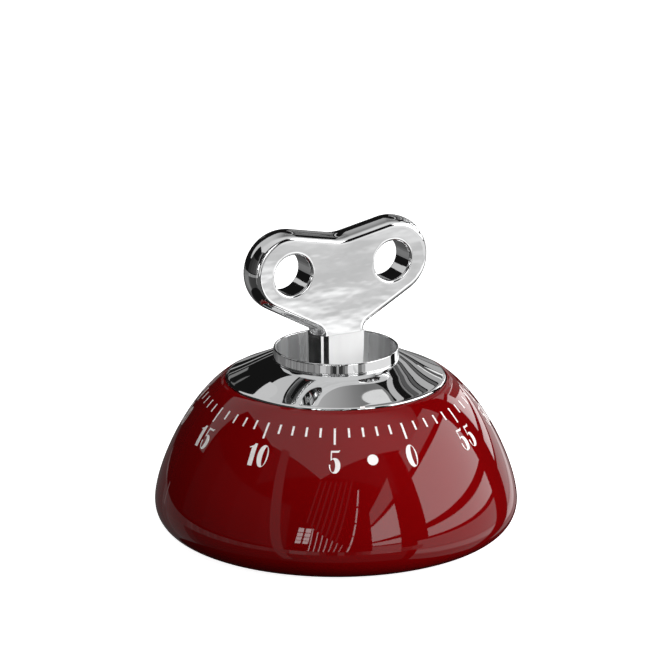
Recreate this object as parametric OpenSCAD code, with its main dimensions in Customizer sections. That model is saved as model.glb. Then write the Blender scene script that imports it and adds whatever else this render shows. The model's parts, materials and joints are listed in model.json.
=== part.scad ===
// Mechanical kitchen timer. A glossy domed casing carries the printed minute scale. A polished
// disc, a deep cup and a butterfly key form the winding knob on top. A spring-driven movement
// with an escapement, a trip cam, a hammer and a bell sits inside on the base plate.
// Frame: the origin is on the table under the middle of the base, +Z is up, and -Y is the front,
// where the scale reads 5. The knob stands at about two and a half minutes.

/* [Casing] */
// Widest diameter of the domed casing
body_d = 76; // [75:0.5:80]
// Height of the casing's top edge above the table
dome_h = 31.9; // [31.7:0.1:32.1]
// Wall thickness of the casing, measured level
wall = 2.4; // [1.6:0.1:2.6]
// Gap between the casing's lower edge and the table
edge_gap = 0.6; // [0.3:0.1:0.9]

/* [Knob] */
// Diameter of the polished disc
disc_d = 45.6; // [44.6:0.2:45.8]
// Diameter of the cup round the key's stem
cup_d = 26.2; // [24:0.2:28]
// Height of the cup's rim above the table
cup_top = 38.5; // [37.5:0.1:40]
// Wall thickness of the cup
cup_wall = 0.6; // [0.5:0.05:0.8]

/* [Key] */
// Height of the key's top above the table, which is the overall height
key_top = 65; // [62:0.5:70]
// Angle of the key about the upright axis
key_turn = 29; // [0:1:359]
// Thickness of the key
key_t = 6.2; // [5.6:0.1:7]
// Distance between the centres of the two finger holes
hole_gap = 23.2; // [22:0.2:25]
// Diameter of each finger hole
hole_d = 8.4; // [6:0.1:10]
// Depth of the finger holes' centres below the key's top
hole_drop = 9; // [8.4:0.1:10]
// Radius of each round lobe
lobe_r = 8.6; // [8:0.1:9]
// Distance that each lobe's centre lies outside its finger hole's centre
lobe_shift = 0.6; // [0:0.1:1]
// Depth of the saddle between the lobes
saddle_drop = 2.1; // [1.8:0.1:3]
// Radius of the saddle's curve
saddle_r = 9; // [6:0.5:14]
// Width of the blade's neck, above the stem
stem_w = 10.3; // [9:0.1:11]
// Slope of the wings' lower edges
wing_slope = 29; // [26:1:32]
// How far the crowned rim stands out beyond each flat face
edge_r = 1.6; // [1:0.1:2]

/* [Movement] */
// Teeth on the great wheel
great_n = 72; // [70:1:74]
// Teeth on the second and third wheels
wheel_n = 60; // [58:1:62]
// Leaves on each pinion
pinion_n = 10; // [10:1:10]
// Teeth on the escape wheel
escape_n = 20; // [15:1:20]
// Turns in the mainspring
spring_turns = 7; // [4:1:9]
// Thickness of the mainspring strip
spring_t = 0.35; // [0.2:0.05:0.4]

/* [Bell] */
// Outer radius of the bell
bell_r = 21; // [20.8:0.1:21.2]
// Thickness of the bell metal
bell_t = 0.8; // [0.6:0.1:0.9]

/* [Hidden] */
$fn = 96;

// A point at radius r and angle a, from the point c
function polar(r, a, c = [0, 0]) = [c[0] + r * cos(a), c[1] + r * sin(a)];
// The direction from one point to another, in degrees
function heading(p, q) = atan2(q[1] - p[1], q[0] - p[0]);
// The angle at a corner whose near sides are a and b and whose far side is c
function corner(a, b, c) = acos((a * a + b * b - c * c) / (2 * a * b));
// Points along an arc from angle a0 to angle a1
function arc(c, r, a0, a1, n) = [for (i = [0:n]) polar(r, a0 + (a1 - a0) * i / n, c)];

// The casing's outline: radius as a share of the widest radius, and height in millimetres
body_r = body_d / 2;
outline = [[0.905, edge_gap], [0.966, 2], [0.993, 4], [0.9995, 6.5], [0.985, 9.5], [0.957, 13],
    [0.913, 17], [0.86, 21], [0.792, 25], [0.716, 28.5], [0.616, dome_h]];
// A smooth curve through the outline, in three steps per span
function smooth(p0, p1, p2, p3, t) = 0.5 * (2 * p1 + (p2 - p0) * t
    + (2 * p0 - 5 * p1 + 4 * p2 - p3) * t * t + (3 * p1 - p0 - 3 * p2 + p3) * t * t * t);
n_out = len(outline);
dome_curve = concat([for (i = [0:n_out - 2]) for (k = [0:2])
    let (p = smooth(outline[max(i - 1, 0)], outline[i], outline[i + 1],
        outline[min(i + 2, n_out - 1)], k / 3)) [p[0] * body_r, p[1]]],
    [[outline[n_out - 1][0] * body_r, dome_h]]);
well_z = dome_h - 4.3;
deck_t = 1.3;
well_r = outline[n_out - 1][0] * body_r - 0.25;
seat_r = 33.15;
seat_z = 3.2;
inner_curve = [for (i = [n_out - 3:-1:2]) [outline[i][0] * body_r - wall, outline[i][1]]];
deck_hole = 6.2;

// Base plate, feet, screws and standoffs
plate_z = 1;
plate_h = 2;
foot_at = [105, 225, 345];
base_screw_at = [45, 165, 285];
standoff_at = [20, 140, 270];
foot_ring = 27;
screw_ring = 29.5;
standoff_ring = 24.8;

// Movement plates and pillars
lower_z = 11.5;
upper_z = 24;
sheet = 1;
lower_r = 27.2;
upper_r = 26;
pillar_ring = 23.5;
pillar_at = [96, 165, 235, 312];

// Going train: tooth sizes, then the places of the arbors
great_m = 0.4;
second_m = 0.25;
third_m = 0.22;
train_at = -20;
second_c = polar(great_m * (great_n + pinion_n) / 2, train_at);
third_ring = 19;
third_gap = second_m * (wheel_n + pinion_n) / 2;
third_at = train_at + corner(norm(second_c), third_ring, third_gap);
third_c = polar(third_ring, third_at);
slow_ring = 19.5;
escape_gap = third_m * (wheel_n + pinion_n) / 2;
escape_at = third_at + corner(third_ring, slow_ring, escape_gap);
escape_c = polar(slow_ring, escape_at);
escape_r = 4.6;
pallet_gap = 6.5;
pallet_c = polar(slow_ring, escape_at + corner(slow_ring, slow_ring, pallet_gap));
fork_l = 6;
impulse_r = 1.2;
balance_c = polar(slow_ring, heading([0, 0], pallet_c)
    + corner(slow_ring, slow_ring, fork_l + impulse_r));
balance_r = 6.5;
pivot_r = 0.6;
play = 0.05;

// Trip cam and hammer
cam_r = 5.5;
hammer_ring = 18;
hammer_at = 200;
hammer_c = polar(hammer_ring, hammer_at);
tip_r = 0.8;
tip_ring = cam_r + tip_r + 0.12;
tip_at = hammer_at - acos(tip_ring / hammer_ring);
tip_c = polar(tip_ring, tip_at);
head_r = 1.6;
head_arm = 9;
head_c = polar(head_arm, hammer_at + 103.2, hammer_c);
hammer_pin = 0.75;

// Deep cup: the height of its floor, the floor's thickness and the radius of its sunk part
cup_floor = dome_h - 1.3;
cup_floor_t = 0.8;
cup_neck = cup_d / 2 - 0.25;

// Key outline, drawn in by s all round, as points across and up
key_foot = cup_floor;
hole_x = hole_gap / 2;
hole_z = key_top - hole_drop;
lobe_x = hole_x + lobe_shift;
lobe_z = key_top - lobe_r;
saddle_z = key_top - saddle_drop + saddle_r;
saddle_b = saddle_z - lobe_z;
saddle_a = atan2(lobe_x, saddle_b) - acos((lobe_r + saddle_r) / norm([lobe_x, saddle_b]));
neck_r = 1.6;
neck_step = 0.45;
stem_t = key_t - 0.5;
wing_x = lobe_x + lobe_r * sin(wing_slope);
wing_z = lobe_z - lobe_r * cos(wing_slope);
neck_x = stem_w / 2 + neck_r;
neck_z = wing_z + ((neck_x - wing_x) * sin(wing_slope) - neck_r) / cos(wing_slope);
function key_line(s) = concat(
    [[stem_w / 2 - s, neck_z]],
    arc([neck_x, neck_z], neck_r + s, 160, 90 + wing_slope, 5),
    arc([lobe_x, lobe_z], lobe_r - s, wing_slope - 90, 90 + saddle_a, 24),
    arc([0, saddle_z], saddle_r + s, saddle_a - 90, -90 - saddle_a, 8),
    arc([-lobe_x, lobe_z], lobe_r - s, 90 - saddle_a, 270 - wing_slope, 24),
    arc([-neck_x, neck_z], neck_r + s, 90 - wing_slope, 20, 5),
    [[s - stem_w / 2, neck_z]]);

// Knob heights and fasteners
disc_top = cup_top - 2.35;
disc_low = dome_h - 0.4;
disc_t = 1.4;
hub_r = cup_neck + 1.4;
hub_t = 1.8;
hub_low = 26.2;
hub_flange = cup_floor - cup_floor_t - hub_t;
square = 3.6;
square_top = 41;
knob_screw_ring = 8.5;
knob_screw_head = 1.1;
arbor_r = 2.5;

// Steps of the going train between the plates
great_z = 13.2;
great_t = 1.2;
spring_z = 16.3;
spring_h = 4;
second_z = 21;
second_t = 0.8;
third_z = 16;
third_t = 0.7;
escape_z = 18.8;
escape_t = 0.6;
lever_z = 19.8;
lever_t = 0.8;
balance_z = 21;
balance_t = 0.8;
cam_z = 22;
cam_t = 1.2;

// The involute of an angle, in degrees
function inv(a) = tan(a) * 180 / PI - a;
// Half of a tooth's angle at radius r, for base radius rb and a tooth that fills share f of its pitch
function half_tooth(r, rb, n, f) = 180 / n * f + inv(20) - (r > rb ? inv(acos(rb / r)) : 0);
// A gear's outline with a tooth centred on the X axis
function gear_line(n, m, add, ded, f, k) =
    let (rp = n * m / 2, rb = rp * cos(20), rt = rp + add * m, rr = rp - ded * m,
        low = max(rb, rr), rs = concat(rr < rb ? [rr] : [], [for (i = [0:k]) low + (rt - low) * i / k]))
    [for (i = [0:n - 1]) for (side = [-1, 1]) for (j = [0:len(rs) - 1])
        let (r = side < 0 ? rs[j] : rs[len(rs) - 1 - j])
        polar(r, 360 * i / n + side * half_tooth(r, rb, n, f))];
// A flat strip's outline that follows the centre line p with thickness t
function strip(p, t) =
    let (n = len(p), d = [for (i = [0:n - 1]) heading(p[max(i - 1, 0)], p[min(i + 1, n - 1)])])
    concat([for (i = [0:n - 1]) polar(t / 2, d[i] + 90, p[i])],
        [for (i = [n - 1:-1:0]) polar(t / 2, d[i] - 90, p[i])]);
// A spiral from radius r0 to radius r1, ending at angle a1 after the given turns
function spiral(r0, r1, a1, turns, n) =
    [for (i = [0:n]) polar(r0 + (r1 - r0) * i / n, a1 - 360 * turns * (1 - i / n))];

// Places its children at each angle of a list, at radius r
module ring(angles, r) {
    for (a = angles) {
        translate([r * cos(a), r * sin(a), 0]) children();
    }
}

// Places its children at a point in plan
module at(p) {
    translate([p[0], p[1], 0]) children();
}

// An upright round bar between two heights
module bar(r, z0, z1) {
    translate([0, 0, z0]) cylinder(r = r, h = z1 - z0);
}

// A cheese-head screw, head down, with a driver slot in the head
module screw(head_r, head_h, shank_r, shank_h) {
    difference() {
        union() {
            cylinder(r = head_r, h = head_h);
            cylinder(r = shank_r, h = head_h + shank_h);
        }
        translate([-head_r, -0.25, -1]) cube([2 * head_r, 0.5, 1.5]);
    }
}

// A wheel with teeth, a bore and crossings: windows between radii r0 and r1 with the given arms
module crossed_wheel(n, m, h, bore, r0, r1, arms, arm_w) {
    difference() {
        linear_extrude(h) polygon(gear_line(n, m, 0.8, 1.2, 0.42, 2));
        translate([0, 0, -1]) cylinder(r = bore, h = h + 2);
        translate([0, 0, -1]) linear_extrude(h + 2) crossings(r0, r1, arms, arm_w);
    }
}

// The windows of a crossed wheel
module crossings(r0, r1, arms, arm_w) {
    difference() {
        circle(r = r1);
        circle(r = r0);
        for (a = [0:arms - 1]) {
            rotate(360 * a / arms) translate([0, -arm_w / 2]) square([r1 + 1, arm_w]);
        }
    }
}

// A steel arbor with thin pivots in both plates, a seat for its wheel and a pinion
module pinion_arbor(m, leaf_z0, leaf_z1, seat_z0, seat_z1) {
    bar(pivot_r, lower_z + 0.05, upper_z + sheet - 0.05);
    bar(1, seat_z0, seat_z1);
    translate([0, 0, leaf_z0]) linear_extrude(leaf_z1 - leaf_z0) {
        polygon(gear_line(pinion_n, m, 0.9, 1.1, 0.4, 3));
    }
}

// Red domed casing with a deck under the disc, a seat for the base plate and screw bosses
module dome_shell() {
    color("#7d0410") difference() {
        union() {
            rotate_extrude($fn = 180) polygon(concat(dome_curve,
                [[well_r, dome_h], [well_r, well_z], [deck_hole, well_z],
                [deck_hole, well_z - deck_t], [inner_curve[0][0] - 1, well_z - deck_t]],
                inner_curve,
                [[outline[1][0] * body_r - wall, seat_z], [seat_r, seat_z], [seat_r, edge_gap]]));
            ring(base_screw_at, screw_ring) bar(3, plate_z + plate_h, 10);
            for (a = base_screw_at) {
                rotate(a) translate([screw_ring + 1.5, -1, seat_z]) cube([4.3, 2, 6.8]);
            }
        }
        ring(base_screw_at, screw_ring) bar(1.2, 2, 9.4);
    }
}

// Polished domed ring that closes the top of the casing and turns with the key
module top_disc() {
    r = disc_d / 2;
    bore = cup_neck + 0.03;
    color("#d9dbde") rotate_extrude($fn = 180) polygon([[bore, disc_top - disc_t],
        [cup_neck + 1.5, disc_top - disc_t], [r - 1.4, disc_low], [r - 0.2, disc_low],
        [r, disc_low + 0.15], [r, disc_low + 0.5], [r - 0.15, disc_low + 0.75],
        [r - 0.6, disc_low + 0.97], [r - 2.3, disc_low + 1.75], [r - 4.3, disc_low + 2.69],
        [r - 6.3, disc_low + 3.55], [r - 8.3, disc_low + 4.22], [bore, disc_top]]);
}

// Deep polished cup, sunk through the disc, round the key's stem
module key_cup() {
    r = cup_d / 2;
    wall_r = r - cup_wall;
    color("#d9dbde") difference() {
        rotate_extrude($fn = 180) polygon([[2.7, cup_floor - cup_floor_t],
            [cup_neck, cup_floor - cup_floor_t], [cup_neck, disc_top], [r - 0.15, disc_top],
            [r, disc_top + 0.2], [r, cup_top - 0.2], [r - 0.15, cup_top],
            [wall_r + 0.15, cup_top], [wall_r, cup_top - 0.2], [wall_r - 0.2, cup_floor + 0.7],
            [wall_r - 0.4, cup_floor + 0.2], [wall_r - 0.9, cup_floor], [2.7, cup_floor]]);
        ring([0, 120, 240], knob_screw_ring) bar(1, cup_floor - 1, cup_floor - 0.2);
    }
}

// Butterfly winding key with a crowned rim, two finger holes and a square socket in its stem
module winding_key() {
    n = len(key_line(0));
    rings = [for (a = [-90:20:90]) [edge_r * (1 - cos(a)), key_t / 2 * sin(a)]];
    points = [for (q = rings) for (p = key_line(q[0])) [p[0], q[1], p[1]]];
    faces = concat([[for (i = [n - 1:-1:0]) i]], [[for (i = [0:n - 1]) 9 * n + i]],
        [for (j = [0:8]) for (i = [0:n - 1])
            [j * n + i, j * n + (i + 1) % n, (j + 1) * n + (i + 1) % n, (j + 1) * n + i]]);
    color("#d9dbde") difference() {
        union() {
            rotate(key_turn) polyhedron(points, faces, convexity = 6);
            rotate(key_turn) translate([neck_step - stem_w / 2, -stem_t / 2, key_foot]) {
                cube([stem_w - 2 * neck_step, stem_t, neck_z + 1.6 - key_foot]);
            }
        }
        for (side = [-1, 1]) {
            rotate(key_turn) translate([side * hole_x, key_t, hole_z]) {
                rotate([90, 0, 0]) cylinder(d = hole_d, h = 2 * key_t);
            }
        }
        rotate(key_turn) translate([-square / 2 - 0.05, -square / 2 - 0.05, key_foot - 1]) {
            cube([square + 0.1, square + 0.1, square_top + 1.4 - key_foot]);
        }
    }
}

// Moulded hub that carries the cup, and the disc on its wall, with a square bore for the arbor
module knob_hub() {
    color("#2a2a2c") difference() {
        union() {
            bar(5.5, hub_low, hub_flange);
            bar(hub_r, hub_flange, disc_top - disc_t);
        }
        bar(cup_neck + 0.03, hub_flange + hub_t, disc_top);
        rotate(key_turn) translate([0, 0, hub_low]) {
            cube([square + 0.1, square + 0.1, 12], center = true);
        }
        ring([0, 120, 240], knob_screw_ring) bar(1, hub_flange - 1, hub_flange + 3);
        ring([0, 120, 240], knob_screw_ring) {
            bar(1.9, hub_flange - 1, hub_flange + knob_screw_head);
        }
    }
}

// Three screws, sunk in the hub, that hold it to the cup's floor
module knob_screws() {
    color("#9a9c9f") ring([0, 120, 240], knob_screw_ring) {
        translate([0, 0, hub_flange]) {
            screw(1.8, knob_screw_head, 1, hub_t - knob_screw_head + cup_floor_t - 0.2);
        }
    }
}

// Dark base plate with sound slots, a bell boss, standoffs and recesses for the feet
module base_plate() {
    color("#1d1d20") difference() {
        union() {
            bar(seat_r - 0.15, plate_z, plate_z + plate_h);
            bar(4, plate_z + plate_h, 4.6);
            ring(standoff_at, standoff_ring) bar(2.4, plate_z + plate_h, lower_z);
        }
        for (a = [15:30:345]) {
            rotate(a) translate([9, -0.9, 0]) cube([10, 1.8, 4]);
        }
        ring(foot_at, foot_ring) bar(4, 0, 1.6);
        ring(base_screw_at, screw_ring) bar(1.2, 0, 4);
        ring(base_screw_at, screw_ring) bar(2.3, 0, 2.2);
        ring(standoff_at, standoff_ring) bar(1, 5, lower_z + 1);
        bar(1, 2, 5);
    }
}

// Three soft pads that stand proud of the base plate
module rubber_feet() {
    color("#101010") ring(foot_at, foot_ring) bar(4, 0, 1.6);
}

// Three screws that hold the base plate to the casing
module base_screws() {
    color("#9a9c9f") ring(base_screw_at, screw_ring) translate([0, 0, 1.2]) screw(2.2, 1, 1.2, 7);
}

// Three screws that hold the movement to the base plate's standoffs
module movement_screws() {
    color("#9a9c9f") ring(standoff_at, standoff_ring) {
        translate([0, 0, lower_z + sheet + 1]) mirror([0, 0, 1]) screw(2, 1, 1, 7);
    }
}

// Pivot holes that both plates share
module pivot_holes(z) {
    for (c = [second_c, third_c, escape_c, pallet_c, balance_c]) {
        at(c) bar(pivot_r + play, z - 1, z + 3);
    }
    at(hammer_c) bar(hammer_pin + play, z - 1, z + 3);
    ring(pillar_at, pillar_ring) bar(0.8, z - 1, z + 3);
}

// Lower movement plate
module lower_plate() {
    color("#b8a36a") difference() {
        bar(lower_r, lower_z, lower_z + sheet);
        bar(2 + play, lower_z - 1, lower_z + 3);
        pivot_holes(lower_z);
        ring(standoff_at, standoff_ring) bar(1, lower_z - 1, lower_z + 3);
    }
}

// Upper movement plate
module upper_plate() {
    color("#b8a36a") difference() {
        bar(upper_r, upper_z, upper_z + sheet);
        bar(arbor_r + play, upper_z - 1, upper_z + 3);
        pivot_holes(upper_z);
    }
}

// Four pillars between the plates
module plate_pillars() {
    color("#c9b06a") ring(pillar_at, pillar_ring) difference() {
        bar(1.8, lower_z + sheet, upper_z);
        bar(0.8, lower_z, lower_z + 4);
        bar(0.8, upper_z - 3, upper_z + 1);
    }
}

// Eight screws that hold the plates to the pillars, four from below and four from above
module pillar_screws() {
    color("#9a9c9f") ring(pillar_at, pillar_ring) {
        translate([0, 0, lower_z - 1]) screw(1.6, 1, 0.8, 3.6);
        translate([0, 0, upper_z + sheet + 1]) mirror([0, 0, 1]) screw(1.6, 1, 0.8, 3.6);
    }
}

// Main arbor: a pivot, a round body through the plates and a square end for the hub and key
module main_arbor() {
    color("#8d9094") union() {
        bar(2, lower_z + 0.1, lower_z + sheet + 0.3);
        bar(arbor_r, lower_z + sheet + 0.2, hub_low - 0.2);
        rotate(key_turn) translate([-square / 2, -square / 2, hub_low - 0.3]) {
            cube([square, square, square_top - hub_low + 0.3]);
        }
    }
}

// Open clip that keeps the arbor from dropping through the upper plate
module retaining_clip() {
    color("#6f7276") difference() {
        bar(4.2, upper_z + 1.15, upper_z + 1.85);
        bar(arbor_r, upper_z, upper_z + 3);
        rotate(200) translate([0, -1.6, upper_z]) cube([6, 3.2, 3]);
    }
}

// Mainspring: a spiral from the arbor to the pillar it hooks on
module mainspring() {
    coil = spiral(arbor_r + 0.25, 11.4, 225, spring_turns, 40 * spring_turns);
    tail = [for (i = [1:14]) polar(11.4 + (pillar_ring - 2 - 11.4) * pow(i / 14, 1.4), 225 + 87 * i / 14)];
    color("#5b6470") translate([0, 0, spring_z]) linear_extrude(spring_h) {
        polygon(strip(concat(coil, tail), spring_t));
    }
}

// Great wheel, driven by the arbor through the clutch
module great_wheel() {
    color("#c9a44c") translate([0, 0, great_z]) rotate(train_at) {
        crossed_wheel(great_n, great_m, great_t, arbor_r, 6, 11.6, 5, 2.4);
    }
}

// Three-armed spring that presses the great wheel against its seat as a slipping clutch
module clutch_spring() {
    color("#70757c") difference() {
        union() {
            bar(3.8, great_z + great_t, great_z + great_t + 0.4);
            for (a = [0:120:240]) {
                rotate(a) translate([0, -1, great_z + great_t]) cube([5.8, 2, 0.4]);
            }
        }
        bar(arbor_r, great_z, great_z + 4);
    }
}

// Collar that holds the clutch spring down
module clutch_collar() {
    color("#8d9094") difference() {
        bar(3.6, great_z + great_t + 0.4, 16);
        bar(arbor_r, great_z, 17);
    }
}

// Trip cam with a notch that lets the hammer drop at zero
module trip_cam() {
    color("#c9a44c") translate([0, 0, cam_z]) difference() {
        cylinder(r = cam_r, h = cam_t);
        translate([0, 0, -1]) cylinder(r = arbor_r, h = cam_t + 2);
        rotate(tip_at - 16) translate([cam_r - 1.1, -0.9, -1]) cube([3, 1.8, cam_t + 2]);
    }
}

// Second arbor, driven by the great wheel
module second_pinion() {
    color("#8d9094") at(second_c) rotate(train_at + 180 + 180 / pinion_n) {
        pinion_arbor(great_m, 12.9, 15, second_z - 0.4, second_z + second_t + 0.4);
    }
}

// Second wheel
module second_wheel() {
    color("#c9a44c") at(second_c) translate([0, 0, second_z]) rotate(heading(second_c, third_c)) {
        crossed_wheel(wheel_n, second_m, second_t, 1, 2.2, 5.9, 4, 1.2);
    }
}

// Third arbor
module third_pinion() {
    color("#8d9094") at(third_c) rotate(heading(third_c, second_c) + 180 / pinion_n) {
        pinion_arbor(second_m, 20.4, 22.2, third_z - 0.4, third_z + third_t + 0.4);
    }
}

// Third wheel
module third_wheel() {
    color("#ece8da") at(third_c) translate([0, 0, third_z]) rotate(heading(third_c, escape_c)) {
        crossed_wheel(wheel_n, third_m, third_t, 1, 2.1, 5.1, 4, 1);
    }
}

// Escape arbor
module escape_pinion() {
    color("#8d9094") at(escape_c) rotate(heading(escape_c, third_c) + 180 / pinion_n) {
        pinion_arbor(third_m, third_z - 0.4, third_z + third_t + 0.4, escape_z - 0.4,
            escape_z + escape_t + 0.3);
    }
}

// Escape wheel with pointed teeth
module escape_wheel() {
    p = 360 / escape_n;
    teeth = [for (i = [0:escape_n - 1]) for (q = [[0.8, -0.72], [1, 0], [1, 0.06], [0.8, 0.1]])
        polar(escape_r * q[0], p * (i + q[1]))];
    color("#ece8da") at(escape_c) translate([0, 0, escape_z]) difference() {
        linear_extrude(escape_t) polygon(teeth);
        translate([0, 0, -1]) cylinder(r = 1, h = 3);
        translate([0, 0, -1]) linear_extrude(3) crossings(1.7, 3, 4, 0.7);
    }
}

// Pallet lever: two arms over the escape wheel and a fork for the impulse pin
module pallet_lever() {
    to_wheel = heading(pallet_c, escape_c);
    to_staff = heading(pallet_c, balance_c);
    color("#c9a44c") translate([0, 0, lever_z]) difference() {
        linear_extrude(lever_t) union() {
            at(pallet_c) circle(r = 1.3);
            for (side = [-1, 1]) {
                at(pallet_pin(side)) circle(r = 0.55);
                at(pallet_c) rotate(heading(pallet_c, pallet_pin(side))) {
                    translate([0, -0.4]) square([norm(pallet_pin(side) - pallet_c), 0.8]);
                }
            }
            at(pallet_c) rotate(to_staff) translate([0, -0.5]) square([fork_l - 1, 1]);
            at(pallet_c) rotate(to_staff) translate([fork_l - 1.2, -1]) square([1.5, 2]);
        }
        at(pallet_c) bar(pivot_r, -1, 2);
        at(pallet_c) rotate(to_staff) translate([fork_l - 0.75, -0.42, -1]) cube([3, 0.84, 3]);
        for (side = [-1, 1]) {
            at(pallet_pin(side)) bar(0.25, -1, 2);
        }
    }
}

// The two pallet pins stand at 45 degrees to the line of centres, just clear of the teeth
function pallet_pin(side) = polar(escape_r + 0.82, heading(escape_c, pallet_c) + 45 * side, escape_c);

// Steel pins that hang from the lever among the teeth
module pallet_pins() {
    color("#8d9094") for (side = [-1, 1]) {
        at(pallet_pin(side)) bar(0.25, escape_z - 0.3, lever_z + lever_t);
    }
}

// Arbor of the pallet lever
module pallet_arbor() {
    color("#8d9094") at(pallet_c) bar(pivot_r, lower_z + 0.05, upper_z + sheet - 0.05);
}

// Balance wheel with two arms
module balance_wheel() {
    color("#c9a44c") at(balance_c) translate([0, 0, balance_z]) difference() {
        cylinder(r = balance_r, h = balance_t);
        translate([0, 0, -1]) cylinder(r = 0.8, h = 3);
        translate([0, 0, -1]) rotate(heading(balance_c, pallet_c)) {
            linear_extrude(3) crossings(2, balance_r - 1.1, 2, 1.4);
            translate([impulse_r, 0, 0]) cylinder(r = 0.3, h = 3);
        }
    }
}

// Balance staff with a seat for the wheel and a collet for the hairspring
module balance_staff() {
    color("#8d9094") at(balance_c) union() {
        bar(pivot_r, lower_z + 0.05, lever_z - 1.2);
        bar(pivot_r - 0.1, lower_z + sheet, upper_z);
        bar(pivot_r, upper_z - 0.8, upper_z + sheet - 0.05);
        bar(0.8, balance_z, balance_z + balance_t);
        bar(0.95, 22.5, 23.1);
    }
}

// Pin on the balance that works in the lever's fork
module impulse_pin() {
    color("#8d9094") at(balance_c) rotate(heading(balance_c, pallet_c)) {
        translate([impulse_r, 0, 0]) bar(0.3, lever_z - 0.2, balance_z + balance_t);
    }
}

// Hairspring above the balance
module hairspring() {
    color("#4a5a72") at(balance_c) translate([0, 0, 22.6]) linear_extrude(0.4) {
        polygon(strip(spiral(1.02, 4.2, 71, 5, 120), 0.12));
    }
}

// Stud under the upper plate that holds the hairspring's outer end
module hairspring_stud() {
    color("#8d9094") at(polar(4.7, 71, balance_c)) bar(0.4, 22.4, upper_z);
}

// Hammer arbor, which runs through the lower plate into the bell
module hammer_arbor() {
    color("#8d9094") at(hammer_c) bar(hammer_pin, 7.2, upper_z + sheet - 0.05);
}

// An arm on the hammer arbor: a hub at c, a bar to the point e and a round end of radius r
module arm(c, e, r, w, h) {
    difference() {
        union() {
            at(c) cylinder(r = 1.6, h = h);
            at(c) rotate(heading(c, e)) translate([0, -w / 2, 0]) cube([norm(e - c), w, h]);
            at(e) cylinder(r = r, h = h);
        }
        at(c) translate([0, 0, -1]) cylinder(r = hammer_pin, h = h + 2);
    }
}

// Follower arm that rides on the trip cam
module hammer_follower() {
    color("#a9adb2") translate([0, 0, cam_z]) arm(hammer_c, tip_c, tip_r, 1.3, cam_t);
}

// Striking arm and head inside the bell
module hammer_head() {
    color("#a9adb2") union() {
        translate([0, 0, 7.8]) arm(hammer_c, head_c, head_r, 1.4, 1);
        at(head_c) bar(head_r, 7.8, 9.8);
    }
}

// Leaf spring from a pillar that presses the follower towards the cam
module hammer_spring() {
    start = polar(pillar_ring - 1.95, pillar_at[1]);
    end = polar(1, heading(hammer_c, tip_c) + 90, hammer_c + 0.5 * (tip_c - hammer_c));
    line = [for (i = [0:10]) let (t = i / 10) start + t * (end - start)
        + [0.9 * sin(180 * t), 0.9 * sin(180 * t)]];
    color("#5b6470") translate([0, 0, cam_z + 0.2]) linear_extrude(0.8) polygon(strip(line, 0.25));
}

// Dished bell, mouth up, on the base plate's boss
module bell() {
    b = bell_r;
    i = bell_r - bell_t;
    color("#b9bcc0") rotate_extrude() polygon([[1, 4.6], [b - 3.8, 4.6], [b - 1.4, 5.3],
        [b - 0.3, 6.8], [b, 8.6], [b, 10.4], [i, 10.4], [i, 8.6], [i - 0.3, 7.2], [i - 1.2, 6],
        [i - 3.2, 5.4], [1, 5.4]]);
}

// Screw that holds the bell at its middle
module bell_screw() {
    color("#9a9c9f") translate([0, 0, 6.6]) mirror([0, 0, 1]) screw(2.4, 1.2, 1, 3.2);
}

dome_shell();
top_disc();
key_cup();
winding_key();
knob_hub();
knob_screws();
base_plate();
rubber_feet();
base_screws();
movement_screws();
lower_plate();
upper_plate();
plate_pillars();
pillar_screws();
main_arbor();
retaining_clip();
mainspring();
great_wheel();
clutch_spring();
clutch_collar();
trip_cam();
second_pinion();
second_wheel();
third_pinion();
third_wheel();
escape_pinion();
escape_wheel();
pallet_lever();
pallet_pins();
pallet_arbor();
balance_wheel();
balance_staff();
impulse_pin();
hairspring();
hairspring_stud();
hammer_arbor();
hammer_follower();
hammer_head();
hammer_spring();
bell();
bell_screw();
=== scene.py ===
import json
import math

import bmesh
import bpy
from mathutils import Matrix, Vector

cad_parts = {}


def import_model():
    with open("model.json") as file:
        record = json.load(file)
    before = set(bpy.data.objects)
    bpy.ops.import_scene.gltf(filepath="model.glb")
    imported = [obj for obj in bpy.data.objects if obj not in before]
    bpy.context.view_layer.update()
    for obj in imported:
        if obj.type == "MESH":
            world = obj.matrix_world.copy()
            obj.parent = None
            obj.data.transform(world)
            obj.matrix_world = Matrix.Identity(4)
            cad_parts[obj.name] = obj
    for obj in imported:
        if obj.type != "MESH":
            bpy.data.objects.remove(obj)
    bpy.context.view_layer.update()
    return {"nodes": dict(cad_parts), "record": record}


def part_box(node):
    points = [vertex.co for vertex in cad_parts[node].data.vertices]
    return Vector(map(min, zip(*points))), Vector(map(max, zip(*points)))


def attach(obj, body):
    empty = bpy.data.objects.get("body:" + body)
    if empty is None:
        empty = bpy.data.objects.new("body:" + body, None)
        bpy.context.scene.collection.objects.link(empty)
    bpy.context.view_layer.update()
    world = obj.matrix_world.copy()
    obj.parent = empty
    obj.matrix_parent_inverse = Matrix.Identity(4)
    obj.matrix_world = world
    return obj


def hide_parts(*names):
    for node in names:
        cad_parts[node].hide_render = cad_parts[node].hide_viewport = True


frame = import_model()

MM = 0.001


# ---------------------------------------------------------------- sizes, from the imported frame

def size_of(node):
    """A CAD node's lowest and highest corner, in millimetres."""
    low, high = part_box(node)
    return Vector(low) / MM, Vector(high) / MM


shell_low, shell_high = size_of("dome_shell")
disc_low, disc_high = size_of("top_disc")
_, cup_high = size_of("key_cup")
key_low, key_high = size_of("winding_key")

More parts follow.
